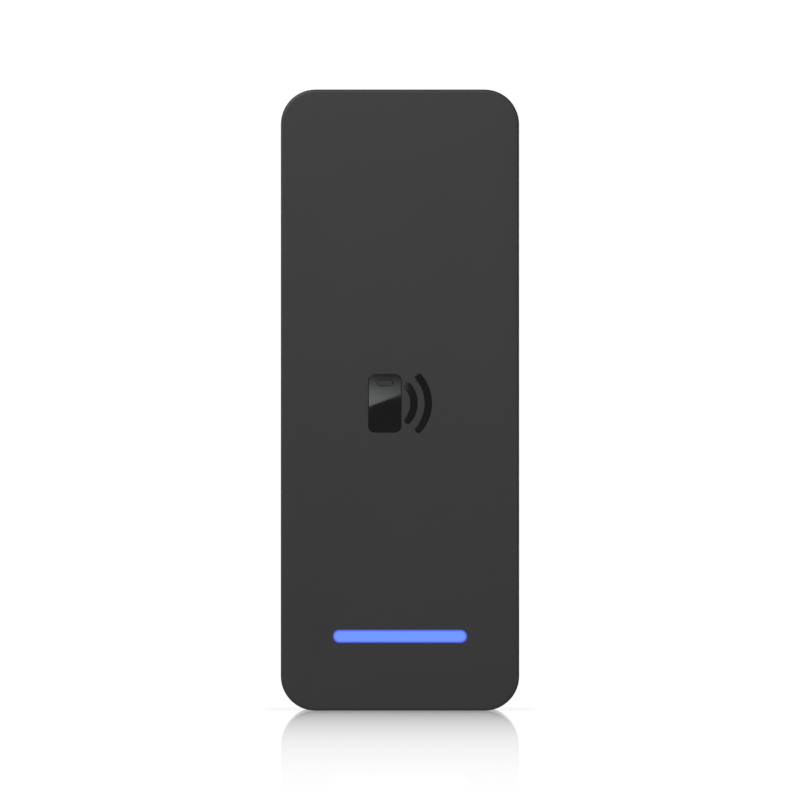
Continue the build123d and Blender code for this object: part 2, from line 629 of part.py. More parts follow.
# ================================================================ tamper switch
def tamper_plunger():
    """Pin held in by the wall; it springs out when the reader leaves its plate."""
    pin = peg(TAMPER_X, CONTROL_Z, TAMPER_R, TAMPER_TIP_Y + TAMPER_R, 0)
    pin = fillet(pin.faces().sort_by(Axis.Y)[-1].edges(), 0.5)
    pin += peg(TAMPER_X, CONTROL_Z, TAMPER_COLLAR_R, TAMPER_COLLAR_Y - TAMPER_COLLAR_T, TAMPER_COLLAR_Y)
    return pin + Pos(TAMPER_X, TAMPER_TIP_Y + TAMPER_R, CONTROL_Z) * Sphere(TAMPER_R)


def tamper_cup():
    """Cup pushed into the panel's ring; its floor carries the spring and guides the pin."""
    cup = peg(TAMPER_X, CONTROL_Z, CUP_R, CUP_FRONT_Y, PANEL_IN_Y)
    cup -= peg(TAMPER_X, CONTROL_Z, CUP_BORE_R, CUP_FRONT_Y + CUP_FLOOR_T, PANEL_IN_Y)
    return cup - peg(TAMPER_X, CONTROL_Z, TAMPER_R + GAP, CUP_FRONT_Y, CUP_FRONT_Y + CUP_FLOOR_T)


def tamper_spring():
    """Steel coil between the cup's floor and the collar of the pin, pressed to its rest length."""
    low, high = CUP_FRONT_Y + CUP_FLOOR_T, TAMPER_COLLAR_Y - TAMPER_COLLAR_T
    rise = high - low - SPRING_WIRE - 0.04
    coil = Helix(rise / SPRING_TURNS, rise, SPRING_R)
    wire = sweep(Plane(coil @ 0, z_dir=coil % 0) * Circle(SPRING_WIRE / 2), coil, is_frenet=True)
    return Pos(TAMPER_X, low + SPRING_WIRE / 2 + 0.02, CONTROL_Z) * Rot(-90, 0, 0) * wire


def lever_barrel(radius, half_length):
    """A round bar along the lever's turning axis, centred on the lever."""
    circle = Plane.YZ.offset(TAMPER_X - half_length) * Pos(LEVER_PIVOT_Y, LEVER_PIVOT_Z) * Circle(radius)
    return extrude(circle, 2 * half_length)


def tamper_switch():
    """Small lever switch, with two ears for the lever's pin."""
    body = block((TAMPER_X - SWITCH_HALF, TAMPER_X + SWITCH_HALF), (BOARD_REAR_Y, SWITCH_Y), (-29.2, -19.6))
    for low in (TAMPER_X - SWITCH_HALF, TAMPER_X + SWITCH_HALF - 0.6):
        body += block((low, low + 0.6), (SWITCH_Y, SWITCH_Y + 1.3), (-29.1, -27.5))
    return body - lever_barrel(LEVER_PIN_R, SWITCH_HALF)


def tamper_lever_pin():
    return lever_barrel(LEVER_PIN_R, SWITCH_HALF)


def tamper_lever():
    """Spring-steel lever that follows the pin's round end, rolled round its own pin below."""
    blade_y = TAMPER_TIP_Y - GAP - LEVER_T
    blade = block(
        (TAMPER_X - LEVER_HALF, TAMPER_X + LEVER_HALF),
        (blade_y, blade_y + LEVER_T),
        (LEVER_PIVOT_Z, LEVER_PIVOT_Z + LEVER_LENGTH),
    )
    lever = lever_barrel(LEVER_BARREL_R, LEVER_HALF) + blade
    return lever - lever_barrel(LEVER_PIN_R + 0.03, LEVER_HALF)


# ================================================================ writing the parts
NODES = [
    wall_plate, front_cover, emblem_inlay, light_bar, light_frame, leds,
    antenna_board, antenna_coil, ferrite_sheet, antenna_pins,
    main_board, board_screws, processor, radio_shield, card_chip, memory_chip, network_chip,
    crystal, bluetooth_antenna, small_components, poe_transformer, filter_capacitors, power_inductor,
    jack_shell, jack_body, jack_contacts, jack_gasket,
    sound_mesh, speaker_gasket, speaker, speaker_diaphragm,
    rear_housing, housing_seal, wall_seal, vent_membrane, housing_screws, threaded_inserts,
    security_insert, security_screw, reset_button, reset_switch, reset_switch_plunger,
    tamper_plunger, tamper_cup, tamper_spring, tamper_switch, tamper_lever_pin, tamper_lever,
]

os.makedirs("parts", exist_ok=True)
for make in NODES:
    export_step(make(), f"parts/{make.__name__}.step")
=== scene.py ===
"""The looks of a slim card reader: a moulded case that hangs on a folded steel wall plate.

The file follows the reader as it is put together, from the wall plate outwards. Lengths are in
metres, and MM turns a size in millimetres into one.
"""

import json
import math

import bmesh
import bpy
from mathutils import Matrix, Vector

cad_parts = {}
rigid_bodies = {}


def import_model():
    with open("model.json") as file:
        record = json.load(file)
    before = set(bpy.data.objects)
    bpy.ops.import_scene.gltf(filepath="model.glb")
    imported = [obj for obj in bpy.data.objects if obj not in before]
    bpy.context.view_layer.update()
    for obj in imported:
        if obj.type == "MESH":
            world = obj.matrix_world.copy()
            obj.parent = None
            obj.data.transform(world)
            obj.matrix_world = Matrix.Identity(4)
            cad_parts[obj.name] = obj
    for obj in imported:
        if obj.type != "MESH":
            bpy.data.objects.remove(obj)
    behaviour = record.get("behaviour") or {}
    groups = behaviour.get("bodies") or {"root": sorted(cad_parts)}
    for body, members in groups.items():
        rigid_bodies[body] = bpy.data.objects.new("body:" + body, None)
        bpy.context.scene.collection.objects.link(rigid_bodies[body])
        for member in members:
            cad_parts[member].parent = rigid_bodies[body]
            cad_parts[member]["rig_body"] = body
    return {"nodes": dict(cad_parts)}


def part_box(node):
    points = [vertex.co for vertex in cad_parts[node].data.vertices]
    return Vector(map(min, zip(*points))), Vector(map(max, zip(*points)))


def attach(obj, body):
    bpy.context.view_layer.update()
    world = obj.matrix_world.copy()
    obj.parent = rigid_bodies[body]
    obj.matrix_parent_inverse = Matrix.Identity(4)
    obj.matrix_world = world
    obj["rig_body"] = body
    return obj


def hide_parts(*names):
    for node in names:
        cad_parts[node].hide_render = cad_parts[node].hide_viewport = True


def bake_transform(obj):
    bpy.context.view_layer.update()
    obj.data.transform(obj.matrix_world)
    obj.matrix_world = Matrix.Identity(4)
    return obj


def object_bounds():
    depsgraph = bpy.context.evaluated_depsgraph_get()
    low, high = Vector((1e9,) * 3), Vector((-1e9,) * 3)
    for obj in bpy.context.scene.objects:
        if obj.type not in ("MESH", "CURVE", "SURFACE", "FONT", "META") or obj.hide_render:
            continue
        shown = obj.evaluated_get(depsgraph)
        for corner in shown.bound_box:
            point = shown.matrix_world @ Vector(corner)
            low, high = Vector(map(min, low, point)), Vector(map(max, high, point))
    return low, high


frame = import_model()
cad_low, cad_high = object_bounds()
MM = 0.001


# ================================================================ studio
# A white floor that is polished round the foot of the reader, a soft light above and to the left,
# a wide one before the face, two low ones behind, and a long lens square to the front face. None
# of it belongs to the reader.
FRONT_Y = cad_low.y
FLOOR_Z = cad_low.z
ROOM_GREY = 0.2  # what the reader sees of the room, which is white to the lens
ROOM_WHITE = 1.05

LENS_DISTANCE = 2.0
LENS_RISE = 0.02 * MM
READER_SHARE = 0.2983  # how much of the picture's width the reader takes

FLOOR_REACH = 12.0
FLOOR_WHITE = 1.02
FLOOR_BOUNCE = 1.8 * ROOM_GREY  # the light that the floor sends up to the reader
FLOOR_BLUR = 0.03
POLISH_IOR, POLISH_FADE = 1.5, 0.126
FOOT_SHADE, FOOT_SHADE_REACH = 0.09, 7 * MM

CARD_GAP, CARD_GLOW = 0.1, 3.1
CARD_CORNERS = [(-8.2, -1.9), (1.4, 1.7), (1.4, 8.0), (-8.2, 8.0)]  # in millimetres

LIGHTS = {  # place, width and power
    "key": ((-0.3, -0.42, 0.45), 0.5, 3.0),
    "fill": ((0.25, -1.6, 0.7), 0.9, 3.7),
    "rear_left": ((-0.8, 0.9, 0.25), 0.8, 8.0),
    "rear_right": ((0.8, 0.9, 0.25), 0.8, 8.0),
}


class Level:
    """A number that varies over a surface. Arithmetic on it adds Math nodes to its graph."""

    def __init__(self, graph, socket):
        self.graph, self.socket = graph, socket

    def maths(self, operation, *others):
        return self.graph.maths(operation, self, *others)

    def __add__(self, other):
        return self.maths("ADD", other)

    def __sub__(self, other):
        return self.maths("SUBTRACT", other)

    def __rsub__(self, other):
        return self.graph.maths("SUBTRACT", other, self)

    def __mul__(self, other):
        return self.maths("MULTIPLY", other)

    def __truediv__(self, other):
        return self.maths("DIVIDE", other)

    def __pow__(self, other):
        return self.maths("POWER", other)

    def __abs__(self):
        return self.maths("ABSOLUTE")

    __radd__ = __add__
    __rmul__ = __mul__

    def above(self, floor):
        """How far it is over a floor, and 0 under it."""
        return (self - floor).maths("MAXIMUM", 0.0)

    def in_steps(self, pitch):
        """How far it is from the middle of its step, in steps of one pitch."""
        return (self / pitch).maths("FRACT") - 0.5

    def rise(self, low, high):
        """0 below low, 1 above high, and a smooth rise between them."""
        inputs = {"Value": self, "From Min": low, "From Max": high}
        node = self.graph.node("ShaderNodeMapRange", {"interpolation_type": "SMOOTHSTEP"}, inputs)
        return Level(self.graph, node.outputs["Result"])

    def band(self, low, high):
        """1 within low of 0 on either side, and 0 beyond high."""
        return 1 - abs(self).rise(low, high)


class Graph:
    """A node tree, and the one way that this file adds a node to it."""

    def __init__(self, tree):
        self.tree = tree

    def node(self, kind, settings=None, inputs=None):
        """Adds a node: first its settings, then the values or links of its sockets."""
        made = self.tree.nodes.new(kind)
        for name, value in (settings or {}).items():
            setattr(made, name, value)
        for key, value in (inputs or {}).items():
            self.plug(made.inputs[key], value)
        return made

    def maths(self, operation, *values):
        node = self.node("ShaderNodeMath", {"operation": operation}, dict(enumerate(values)))
        return Level(self, node.outputs[0])

    def plug(self, socket, value):
        """Gives a socket a link or a value."""
        value = getattr(value, "socket", value)
        if isinstance(value, bpy.types.Node):
            value = value.outputs[0]
        if isinstance(value, bpy.types.NodeSocket):
            self.tree.links.new(value, socket)
        else:
            socket.default_value = value


class Finish(Graph):
    """A node material round one Principled shader, read in the object's own coordinates."""

    def __init__(self, name, constants=None):
        self.material = bpy.data.materials.new(name)
        self.material.use_nodes = True
        super().__init__(self.material.node_tree)
        self.shader = self.tree.nodes["Principled BSDF"]
        self.coordinates = self.node("ShaderNodeTexCoord").outputs["Object"]
        for socket, value in (constants or {}).items():
            self.feed(socket, value)

    def feed(self, socket, value):
        self.plug(self.shader.inputs[socket], value)

    def axes(self):
        """The three object coordinates as numbers."""
        node = self.node("ShaderNodeSeparateXYZ", {}, {"Vector": self.coordinates})
        return [Level(self, node.outputs[axis]) for axis in "XYZ"]

    def stretched(self, stretch):
        """Object coordinates drawn out or pressed together along each axis."""
        inputs = {"Vector": self.coordinates, "Scale": stretch}
        return self.node("ShaderNodeMapping", {}, inputs).outputs[0]

    def noise(self, grain, detail=2.0, stretch=(1, 1, 1)):
        """Soft random relief whose lumps are about as large as the grain."""
        inputs = {"Vector": self.stretched(stretch), "Scale": 1 / grain, "Detail": detail}
        return Level(self, self.node("ShaderNodeTexNoise", {}, inputs).outputs[0])

    def cells(self, size, stretch=(1, 1, 1)):
        """Distance from the middles of random cells."""
        inputs = {"Vector": self.stretched(stretch), "Scale": 1 / size}
        return Level(self, self.node("ShaderNodeTexVoronoi", {}, inputs).outputs["Distance"])

    def colours(self, mask, dark, light):
        """A colour between two, by a mask. Either may be three numbers or a link."""
        inputs = {0: mask, 6: dark, 7: light}
        for key in (6, 7):
            if isinstance(inputs[key], tuple):
                inputs[key] = (*inputs[key], 1)
        return self.node("ShaderNodeMix", {"data_type": "RGBA"}, inputs).outputs[2]

    def relief(self, height, depth):
        """Bumps of a real depth in metres, from a height of 0 to 1."""
        bump = self.node("ShaderNodeBump", {}, {"Height": height, "Distance": depth, "Strength": 1.0})
        self.feed("Normal", bump.outputs[0])

    def surface(self, shader):
        """Gives the material another shader than the Principled one."""
        self.plug(self.tree.nodes["Material Output"].inputs["Surface"], shader)

    def glow(self, strength, tint=(1, 1, 1)):
        return self.node("ShaderNodeEmission", {}, {"Color": (*tint, 1), "Strength": strength})

    def either(self, mask, first, second):
        """One shader where the mask is 0 and the other where it is 1."""
        return self.node("ShaderNodeMixShader", {}, {0: mask, 1: first, 2: second})


def object_of(name, mesh):
    made = bpy.data.objects.new(name, mesh)
    bpy.context.scene.collection.objects.link(made)
    return made


def stage_piece(name, finish, corners, faces):
    mesh = bpy.data.meshes.new(name)
    mesh.from_pydata(corners, [], faces)
    mesh.materials.append(finish.material)
    piece = object_of(name, mesh)
    return piece


def lay_floor():
    """Overexposed white with a painted contact shadow round the reader's foot, and a mirror that fades
    away from the foot. Only the lens sees it so: the reader gets a dimmer, even light from it, and from
    below it is clear."""
    finish = Finish("white_floor")
    x, y, _ = finish.axes()
    middle_y, half_depth = (cad_low.y + cad_high.y) / 2, (cad_high.y - cad_low.y) / 2
    beside = abs(x).above(cad_high.x)
    before = abs(y - middle_y).above(half_depth)
    away = (beside * beside + before * before) ** 0.5
    grazing = Level(finish, finish.node("ShaderNodeFresnel", {}, {"IOR": POLISH_IOR}).outputs[0])
    polish = (away * (-1 / POLISH_FADE)).maths("EXPONENT") * grazing
    # Painted contact shadow: the floor's glow and its mirror are made darker close round the reader's
    # foot.
    shade = FLOOR_WHITE - (1 - away.rise(0, FOOT_SHADE_REACH)) * FOOT_SHADE
    bright = finish.node("ShaderNodeCombineColor", {}, dict.fromkeys(range(3), shade / ROOM_GREY))
    mirror = finish.node("ShaderNodeBsdfGlossy", {}, {"Color": bright, "Roughness": FLOOR_BLUR})
    seen = finish.either(polish, finish.glow(shade), mirror)
    to_lens = finish.node("ShaderNodeLightPath").outputs["Is Camera Ray"]
    top = finish.either(to_lens, finish.glow(FLOOR_BOUNCE), seen)
    under = finish.node("ShaderNodeNewGeometry").outputs["Backfacing"]
    finish.surface(finish.either(under, top, finish.node("ShaderNodeBsdfTransparent")))
    ends = (-FLOOR_REACH, FLOOR_REACH)
    corners = [(x_end, y_end, FLOOR_Z) for x_end in ends for y_end in ends]
    stage_piece("floor", finish, corners, [(0, 2, 3, 1)])


def hang_light(name, place, width, power):
    lamp = bpy.data.lights.new(name, "AREA")
    lamp.shape, lamp.size, lamp.energy = "DISK", width, power
    made = object_of(name, lamp)
    made.location = place
    made.rotation_euler = Vector(place).to_track_quat("Z", "Y").to_euler()
    made.visible_camera = False


def hang_card():
    """A small glowing card before the face, which fades upwards and a little to the right. Only
    the gloss badge is smooth enough to mirror it."""
    finish = Finish("reflector")
    x, _, z = finish.axes()
    upwards = (1 - z.rise(-0.4 * MM, 8.6 * MM)) ** 1.4
    sideways = 1 - x.rise(-8.6 * MM, -0.6 * MM) * 0.25
    finish.surface(finish.glow(upwards * sideways * CARD_GLOW, (0.97, 0.99, 1)))
    corners = [(x_end * MM, FRONT_Y - CARD_GAP, z_end * MM) for x_end, z_end in CARD_CORNERS]
    card = stage_piece("reflector", finish, corners, [(0, 1, 2, 3)])
    card.visible_camera = card.visible_shadow = card.visible_diffuse = False


def fill_room():
    """White to the lens, and a dim grey room to everything that reflects it."""
    world = bpy.data.worlds.new("room")
    bpy.context.scene.world = world
    world.use_nodes = True
    room = Graph(world.node_tree)
    room.tree.nodes.clear()
    dim, white = [
        room.node("ShaderNodeBackground", {}, {"Color": (1, 1, 1, 1), "Strength": strength})
        for strength in (ROOM_GREY, ROOM_WHITE)
    ]
    to_lens = room.node("ShaderNodeLightPath").outputs["Is Camera Ray"]
    both = room.node("ShaderNodeMixShader", {}, {0: to_lens, 1: dim, 2: white})
    room.node("ShaderNodeOutputWorld", {}, {"Surface": both})


def set_camera():
    lens = bpy.data.cameras.new("lens")
    picture_width = (cad_high.x - cad_low.x) / READER_SHARE
    lens.lens = lens.sensor_width * LENS_DISTANCE / picture_width
    lens.clip_start, lens.clip_end = 0.1, 100
    camera = object_of("lens", lens)
    camera.location = (0, FRONT_Y - LENS_DISTANCE, LENS_RISE)
    camera.rotation_euler = (math.pi / 2, 0, 0)
    bpy.context.scene.camera = camera


lay_floor()
fill_room()
hang_card()
for light, (place, width, power) in LIGHTS.items():
    hang_light(light, place, width, power)
set_camera()
bpy.context.scene.view_settings.view_transform = "Standard"


# ================================================================ wall plate
# Zinc-plated sheet steel, pressed and folded in one piece. Screws through its slots hold it to
# the wall, its hooks carry the reader, and the folded foot below takes the lock screw.
SHARP = math.radians(38)  # an edge that turns by more than this is a hard one
FLAT = math.radians(0.5)
ONE_POINT = 0.002 * MM


def paint(finish, *nodes):
    """Gives CAD nodes their finish; their shape stays as it is."""
    for node in nodes:
        mesh = frame["nodes"][node].data
        mesh.materials.clear()
        mesh.materials.append(finish.material)


def plain_mesh(piece):
    """The mesh that the piece's modifiers make, with the modifiers gone."""
    bpy.context.view_layer.update()
    evaluated = piece.evaluated_get(bpy.context.evaluated_depsgraph_get())
    mesh = bpy.data.meshes.new_from_object(evaluated)
    piece.modifiers.clear()
    return mesh


def stands_for(piece, finish, *nodes):
    """The finished piece takes the place of CAD nodes, and moves with their body."""
    piece.data.materials.clear()
    piece.data.materials.append(finish.material)
    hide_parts(*nodes)
    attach(piece, frame["nodes"][nodes[0]]["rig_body"])
    return piece


def merged(node):
    """A CAD node's triangles as one joined mesh, with its flat faces whole again."""
    work = bmesh.new()
    work.from_mesh(frame["nodes"][node].data)
    bmesh.ops.remove_doubles(work, verts=work.verts, dist=ONE_POINT)
    bmesh.ops.dissolve_limit(work, angle_limit=FLAT, verts=work.verts, edges=work.edges)
    return work


def softened(name, node, finish, edge, segments=2):
    """A CAD node's shape with its hard edges rounded, as a mould or a press leaves them."""
    mesh = bpy.data.meshes.new(name)
    work = merged(node)
    work.to_mesh(mesh)
    work.free()
    for left_over in ("custom_normal", "sharp_edge", "sharp_face"):
        if left_over in mesh.attributes:
            mesh.attributes.remove(mesh.attributes[left_over])
    mesh.shade_smooth()
    mesh.set_sharp_from_angle(angle=SHARP)
    piece = object_of(name, mesh)
    bevel = piece.modifiers.new("edges", "BEVEL")
    bevel.width, bevel.segments, bevel.harden_normals = edge, segments, True
    bevel.limit_method, bevel.angle_limit = "ANGLE", SHARP
    piece.data = plain_mesh(piece)
    return stands_for(piece, finish, node)


def brighter(colour, share):
    """A colour made lighter, or darker where the share is under 1."""
    return tuple(min(1.0, part * share) for part in colour)


def bare_metal(name, tint, roughness=0.36, grain=0.5 * MM, depth=0.003 * MM, rolled=0.05):
    """Plated or polished metal: rolling marks along Z, cloudy tone and a few rubbed places."""
    finish = Finish(name, {"Metallic": 1.0})
    lines = finish.noise(grain, 4.0, (1.0, 1.0, rolled))
    clouds = finish.noise(14 * grain, 4.0)
    rubbed = finish.noise(2 * grain, 6.0, (0.3, 1.0, 1.0)).rise(0.58, 0.8)
    finish.feed("Base Color", finish.colours(clouds.rise(0.3, 0.7), tint, brighter(tint, 1.12)))
    finish.feed("Roughness", roughness + (lines - 0.5) * 0.14 + rubbed * 0.05)
    finish.relief(lines, depth)
    return finish


zinc = bare_metal("zinc_plate", (0.5, 0.505, 0.5))
softened("plate_pressing", "wall_plate", zinc, 0.12 * MM)


# ================================================================ rear housing
# Black glass-filled plastic with a coarse spark-eroded grain. It closes the case from behind,
# and its round-edged lip hangs on the hooks of the wall plate.
FLOW = 18 * MM  # the plastic's faint flow marks


def moulded(name, colour, roughness, grain, depth, mottle=0.06):
    """Moulded plastic or rubber with the grain of its tool, a little uneven in tone and gloss."""
    finish = Finish(name)
    erosion = finish.noise(grain, 3.0)
    flow = finish.noise(FLOW, 2.0)
    tone = flow.rise(0.3, 0.7) * 0.6 + erosion * 0.4
    darker, lighter = brighter(colour, 1 - mottle), brighter(colour, 1 + mottle)
    finish.feed("Base Color", finish.colours(tone, darker, lighter))
    finish.feed("Roughness", roughness + (erosion - 0.5) * 0.18 + (flow - 0.5) * 0.06)
    finish.relief(erosion, depth)
    return finish


housing_black = moulded(
    "housing_plastic", (0.026, 0.026, 0.028), roughness=0.56, grain=0.28 * MM, depth=0.02 * MM
)
softened("housing_moulding", "rear_housing", housing_black, 0.12 * MM)


# ================================================================ case screws and inserts
# Four long pan-head machine screws close the case from behind. They turn in knurled brass
# inserts, which a hot tool melts into the bosses of the front cover.
class Recipe(Graph):
    """A Geometry Nodes tree with named inputs for its sizes."""

    KINDS = {"Finish": "NodeSocketMaterial", "Part": "NodeSocketObject", "Seed": "NodeSocketInt"}

    def __init__(self, name, *inputs):
        super().__init__(bpy.data.node_groups.new(name, "GeometryNodeTree"))
        face = self.tree.interface
        face.new_socket("Geometry", in_out="OUTPUT", socket_type="NodeSocketGeometry")
        face.new_socket("Geometry", in_out="INPUT", socket_type="NodeSocketGeometry")
        for key in (*inputs, "Finish"):
            face.new_socket(key, in_out="INPUT", socket_type=self.KINDS.get(key, "NodeSocketFloat"))
        self.given = self.node("NodeGroupInput").outputs

    def size(self, name):
        return Level(self, self.given[name])

    def vector(self, x=0.0, y=0.0, z=0.0):
        return self.node("ShaderNodeCombineXYZ", {}, {"X": x, "Y": y, "Z": z})

    def place(self):
        """The position of each point as three numbers."""
        node = self.node("ShaderNodeSeparateXYZ", {}, {0: self.node("GeometryNodeInputPosition")})
        return [Level(self, node.outputs[axis]) for axis in "XYZ"]

    def tube(self, curve, radius, sides):
        """A closed round wire along a curve."""
        ring = self.node("GeometryNodeCurvePrimitiveCircle", {}, {"Resolution": sides, "Radius": radius})
        inputs = {"Curve": curve, "Profile Curve": ring.outputs["Curve"], "Fill Caps": True}
        return self.node("GeometryNodeCurveToMesh", {}, inputs)

    def done(self, geometry):
        """Ends the tree: real geometry in its finish."""
        real = self.node("GeometryNodeRealizeInstances", {}, {"Geometry": geometry})
        inputs = {"Geometry": real, "Material": self.given["Finish"]}
        painted = self.node("GeometryNodeSetMaterial", {}, inputs)
        self.node("NodeGroupOutput", {}, {"Geometry": painted})

    def make(self, name, finish, base=None, **values):
        """A piece whose mesh the tree makes from its sizes, and from a base mesh if it needs one."""
        piece = object_of(name, base or bpy.data.meshes.new(name))
        modifier = piece.modifiers.new("recipe", "NODES")
        modifier.node_group = self.tree
        values["Finish"] = finish.material
        for socket in self.tree.interface.items_tree:
            if socket.in_out == "INPUT" and socket.name in values:
                modifier[socket.identifier] = values[socket.name]
        piece.data = plain_mesh(piece)
        return piece


def row_of_parts():
    """One copy of a part on each point, each turned about Y by a random share of Turn."""
    recipe = Recipe("row_of_parts", "Part", "Turn", "Seed")
    part = recipe.node("GeometryNodeObjectInfo", {}, {"Object": recipe.given["Part"]})
    least, most, seed = 2, 3, 8  # the places of a random number's inputs
    limits = {least: 0.0, most: recipe.size("Turn"), seed: recipe.given["Seed"]}
    turn = recipe.node("FunctionNodeRandomValue", {"data_type": "FLOAT"}, limits).outputs[1]
    inputs = {
        "Points": recipe.given["Geometry"],
        "Instance": part.outputs["Geometry"],
        "Rotation": recipe.vector(y=turn),
    }
    recipe.done(recipe.node("GeometryNodeInstanceOnPoints", {}, inputs))
    return recipe


PARTS_IN_ROWS = row_of_parts()


def solids_of(node):
    """The lowest and highest corner of each separate solid of a CAD node, from left to right."""
    work = merged(node)
    waiting, boxes = set(work.verts), []
    while waiting:
        reached = [waiting.pop()]
        for vert in reached:
            near = {edge.other_vert(vert) for edge in vert.link_edges} & waiting
            waiting -= near
            reached += near
        columns = list(zip(*[vert.co for vert in reached]))
        boxes.append((Vector([min(c) for c in columns]), Vector([max(c) for c in columns])))
    work.free()
    return sorted(boxes, key=lambda box: [round(part, 6) for part in box[0]])


def row(name, places, part_mesh, finish, turn=0.0, seed=1):
    """Copies of a small part at several places, as one mesh."""
    part = bpy.data.objects.new(name + "_part", part_mesh)
    points = bpy.data.meshes.new(name)
    points.from_pydata(places, [], [])
    piece = PARTS_IN_ROWS.make(name, finish, points, Part=part, Turn=turn, Seed=seed)
    bpy.data.objects.remove(part)
    return piece


def lathe(name, rings, sides=48, closed=False):
    """Rings round the Z axis, joined up. A ring is a height, and a radius or a rule that gives
    the radius from the angle, all in millimetres. Closed joins the last ring to the first."""
    work = bmesh.new()
    loops = []
    for height, radius in rings:
        loop = []
        for step in range(sides):
            angle = math.tau * step / sides
            reach = radius(angle) if callable(radius) else radius
            loop.append(work.verts.new((reach * math.cos(angle), reach * math.sin(angle), height)))
        loops.append(loop)
    pairs = list(zip(loops, loops[1:]))
    if closed:
        pairs.append((loops[-1], loops[0]))
    else:
        work.faces.new(loops[0])
        work.faces.new(loops[-1])
    for low, high in pairs:
        for step in range(sides):
            work.faces.new((low[step], low[step - 1], high[step - 1], high[step]))
    bmesh.ops.recalc_face_normals(work, faces=work.faces)
    bmesh.ops.scale(work, vec=(MM, MM, MM), verts=work.verts)
    mesh = bpy.data.meshes.new(name)
    work.to_mesh(mesh)
    work.free()
    mesh.shade_smooth()
    mesh.set_sharp_from_angle(angle=math.radians(35))
    return mesh


def scaled(rule, share):
    """An outline made larger or smaller."""
    return lambda angle: rule(angle) * share


def cross(long, wide):
    """The outline of a cross recess, from its centre."""

    def reach(angle):
        across, up = max(abs(math.cos(angle)), 1e-6), max(abs(math.sin(angle)), 1e-6)
        return max(min(long / across, wide / up), min(wide / across, long / up))

    return reach


def thread(height, pitch, outer, depth):
    """The radius of a pointed thread round the screw at one height."""
    return lambda angle: outer - depth * abs(2 * ((height / pitch - angle / math.tau) % 1) - 1)


def screw(name, head, shank, length, pitch, recess, depth, edge=0.45, pin=0.0):
    """A machine screw along Z in millimetres: the face of its head at 0, its tip above. head is
    its radius and length, edge rounds it, and pin is the radius of a post in the recess."""
    head_r, head_t = head
    broken = 0.07  # every hard edge is broken by this much
    turn_steps = 6
    rings = [(depth, 0.1)]
    if pin:
        rings = [(depth * 0.2, pin * 0.8), (depth * 0.3, pin), (depth, pin)]
    rings += [(depth, scaled(recess, 0.93)), (broken, recess), (0, scaled(recess, 1.06))]
    for step in range(5):
        bend = math.radians(22.5 * step)
        rings.append((edge * (1 - math.cos(bend)), head_r - edge + edge * math.sin(bend)))
    rings += [(head_t - broken, head_r), (head_t, head_r - broken)]
    rings += [(head_t, shank + 0.12), (head_t + 0.2, shank)]
    steps = int((length - 0.8) / pitch * turn_steps)
    for step in range(steps + 1):
        height = head_t + 0.3 + pitch * step / turn_steps
        fade_in_and_out = min(1, step / 8, (steps - step) / 4)
        rings.append((height, thread(height, pitch, shank, 0.55 * pitch * fade_in_and_out)))
    rings.append((head_t + length, shank * 0.72))
    return lathe(name, rings)


def knurled_tube(name, length, outer, bore):
    """A threaded insert along Z in millimetres: two knurled bands with a groove between them."""
    teeth, tooth_depth, waist = 26, 0.14, outer - 0.3

    def knurl(angle):
        return outer - tooth_depth * abs(2 * (angle * teeth / math.tau % 1) - 1)

    foot = [(0.5, knurl), (0.4, waist), (0, waist)]
    groove = [(length * 0.55, waist), (length * 0.42, waist)]
    bands = [(length - 0.15, knurl), (length * 0.58, knurl), *groove, (length * 0.39, knurl)]
    rings = [(0, bore), (length, bore), (length, waist), *bands, *foot]
    return lathe(name, rings, teeth * 4, closed=True)


def across(places, depth_of):
    """The middle of each box in X and Z, at a depth worked out from it."""
    return [((low.x + high.x) / 2, depth_of(low, high), (low.z + high.z) / 2) for low, high in places]


TO_FRONT = Matrix.Rotation(math.radians(90), 4, "X")

zinc_screw = bare_metal(
    "zinc_screw", (0.55, 0.55, 0.53), roughness=0.26, grain=0.3 * MM, depth=0.004 * MM, rolled=1.0
)
closing_screw = screw(
    "closing_screw", head=(2.2, 1.5), shank=1.2, length=11.3, pitch=0.45,
    recess=cross(1.2, 0.275), depth=0.9,
)
closing_screw.transform(TO_FRONT)
heads = across(solids_of("housing_screws"), lambda low, high: high.y)
screws = row("closing_screws", heads, closing_screw, zinc_screw, turn=1.5, seed=3)
stands_for(screws, zinc_screw, "housing_screws")

brass = bare_metal(
    "brass", (0.62, 0.42, 0.17), roughness=0.3, grain=0.3 * MM, depth=0.004 * MM, rolled=1.0
)
boss_insert = knurled_tube("boss_insert", length=4.5, outer=1.75, bore=1.25)
boss_insert.transform(TO_FRONT)
ends = across(solids_of("threaded_inserts"), lambda low, high: high.y)
inserts = row("boss_inserts", ends, boss_insert, brass, turn=1.0, seed=4)
stands_for(inserts, brass, "threaded_inserts")


# ================================================================ seals and breathing disc
# Extruded silicone and rubber: one ring between the shells, one strip against the wall, one
# collar round the jack. A pale membrane behind three small holes lets the case breathe.
rubber = moulded(
    "seal_rubber", (0.017, 0.017, 0.018), roughness=0.72, grain=0.5 * MM, depth=0.01 * MM, mottle=0.1
)
paint(rubber, "housing_seal", "wall_seal", "jack_gasket")

membrane = Finish("breathing_membrane", {"Roughness": 0.8})
fibres = membrane.noise(0.09 * MM, 5.0, (1, 1, 0.4))
membrane.feed("Base Color", membrane.colours(fibres, (0.62, 0.62, 0.6), (0.84, 0.84, 0.82)))
membrane.relief(fibres, 0.02 * MM)
paint(membrane, "vent_membrane")


# ================================================================ front cover
# Dark grey satin plastic in one moulding: face, sides, posts and sound slots. Its fine grain
# keeps the face even, and the screws in its bosses hold it to the rear housing.
cover_grey = moulded(
    "cover_plastic", (0.0305, 0.0305, 0.031),
    roughness=0.5, grain=0.12 * MM, depth=0.004 * MM, mottle=0.02,
)
softened("cover_moulding", "front_cover", cover_grey, 0.07 * MM)


